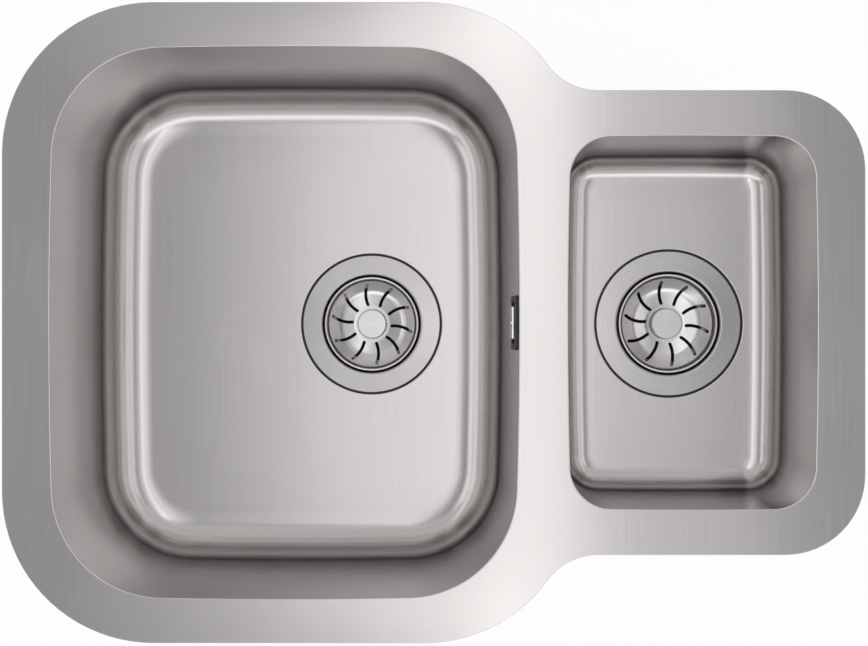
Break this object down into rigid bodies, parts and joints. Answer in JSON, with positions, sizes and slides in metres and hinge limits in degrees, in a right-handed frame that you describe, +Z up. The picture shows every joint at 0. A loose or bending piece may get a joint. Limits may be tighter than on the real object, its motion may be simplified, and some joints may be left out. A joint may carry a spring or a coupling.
{
  "type": "kitchen sink",
  "caption": "Undermount kitchen sink in pressed steel: a large bowl and a small bowl on a shared flat rim, with lift-out basket strainer wastes and an overflow.",
  "frame": {"origin": "on the rim's top face, in the middle of the bridge between the two bowls", "axes": "+X towards the half bowl, +Y towards the back, +Z up out of the bowls"},
  "size_m": [0.625, 0.464, 0.282],
  "materials": {
    "sheet_steel": "satin brushed",
    "waste_steel": "bright pressed",
    "fixing_steel": "turned",
    "clip_steel": "bright band",
    "rubber": "matt",
    "pad": "matt bitumen",
    "brass": "turned",
    "waste_plastic": "moulded",
    "frame_plastic": "moulded black",
    "hose_plastic": "moulded ribs"
  },
  "bodies": {
    "sink": {"half_bowl": "sheet_steel", "half_bowl_seal": "rubber", "half_dish_gasket": "rubber", "half_sound_pad": "pad", "half_waste_body": "waste_plastic", "half_waste_dish": "waste_steel", "half_waste_insert": "brass", "half_waste_screw": "fixing_steel", "half_waste_tail": "waste_plastic", "lower_hose_clip": "clip_steel", "main_bowl": "sheet_steel", "main_bowl_seal": "rubber", "main_dish_gasket": "rubber", "main_sound_pad": "pad", "main_waste_body": "waste_plastic", "main_waste_dish": "waste_steel", "main_waste_insert": "brass", "main_waste_screw": "fixing_steel", "main_waste_tail": "waste_plastic", "overflow_frame": "frame_plastic", "overflow_hose": "hose_plastic", "overflow_housing": "waste_plastic", "overflow_insert": "brass", "overflow_plate": "waste_steel", "overflow_screw": "fixing_steel", "overflow_seal": "rubber", "rim_flange": "sheet_steel", "upper_hose_clip": "clip_steel"},
    "main_plug": {"main_basket_knob": "waste_steel", "main_basket_stem": "fixing_steel", "main_catch_ring": "fixing_steel", "main_plug_seal": "rubber", "main_plug_washer": "waste_steel"},
    "main_basket": {"main_basket_cup": "waste_steel"},
    "half_plug": {"half_basket_knob": "waste_steel", "half_basket_stem": "fixing_steel", "half_catch_ring": "fixing_steel", "half_plug_seal": "rubber", "half_plug_washer": "waste_steel"},
    "half_basket": {"half_basket_cup": "waste_steel"}
  },
  "joints": [
    {"name": "main_plug_lift", "type": "slide", "parent": "sink", "child": "main_plug", "axis": [0, 0, 1], "range_m": [0, 0.26]},
    {"name": "main_basket_turn", "type": "hinge", "parent": "main_plug", "child": "main_basket", "pos_m": [-0.13125, 0, -0.2077], "axis": [0, 0, 1], "continuous": true},
    {"name": "half_plug_lift", "type": "slide", "parent": "sink", "child": "half_plug", "axis": [0, 0, 1], "range_m": [0, 0.19]},
    {"name": "half_basket_turn", "type": "hinge", "parent": "half_plug", "child": "half_basket", "pos_m": [0.108, 0, -0.1377], "axis": [0, 0, 1], "continuous": true}
  ]
}
